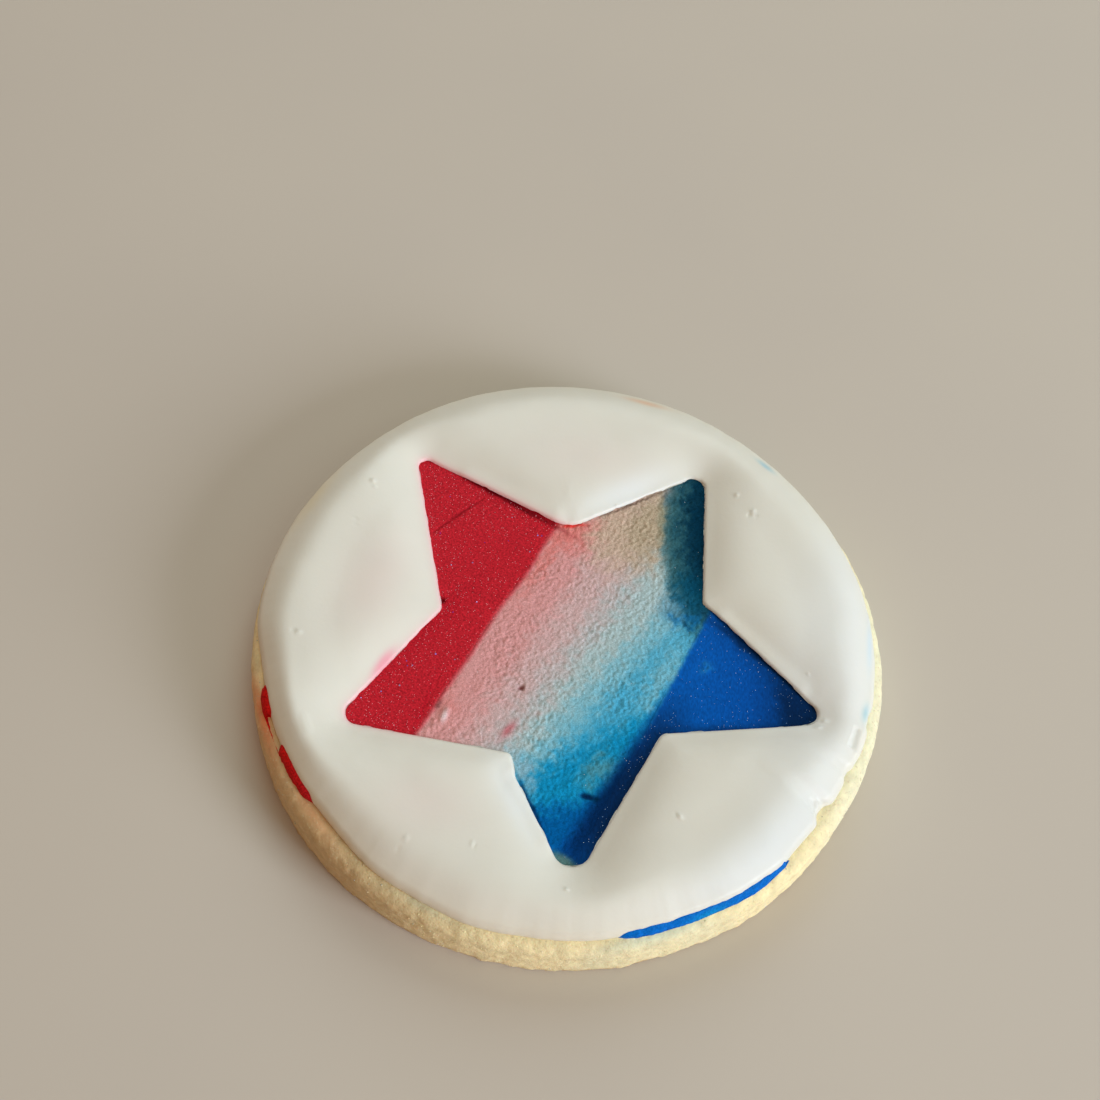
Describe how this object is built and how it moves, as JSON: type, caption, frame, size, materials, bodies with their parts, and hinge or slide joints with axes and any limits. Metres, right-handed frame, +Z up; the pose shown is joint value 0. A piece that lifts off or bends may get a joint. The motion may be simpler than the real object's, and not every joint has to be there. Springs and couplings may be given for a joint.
{
  "type": "iced sugar cookie",
  "caption": "Round cut-out sugar cookie iced white, with a star-shaped opening in the white showing red, pale and blue icing beneath.",
  "frame": {"origin": "centre of the cookie's flat underside", "axes": "+Z up, from the underside to the icing; +X across the cookie to the right and +Y away as it is usually shown, with one tip of the star at the upper left"},
  "size_m": [0.083, 0.0833, 0.0112],
  "materials": {
    "biscuit": "dry and crumbly baked dough, pale gold",
    "icing_red": "dry crimson icing with a fine grain and glints",
    "icing_pale": "dry rough icing, tinted pink, grey and cyan",
    "icing_blue": "dry royal blue icing, satin",
    "icing_white": "smooth warm white icing, satin"
  },
  "bodies": {
    "root": {"biscuit": "biscuit", "icing_red": "icing_red", "icing_pale": "icing_pale", "icing_blue": "icing_blue", "icing_white": "icing_white"}
  },
  "joints": []
}
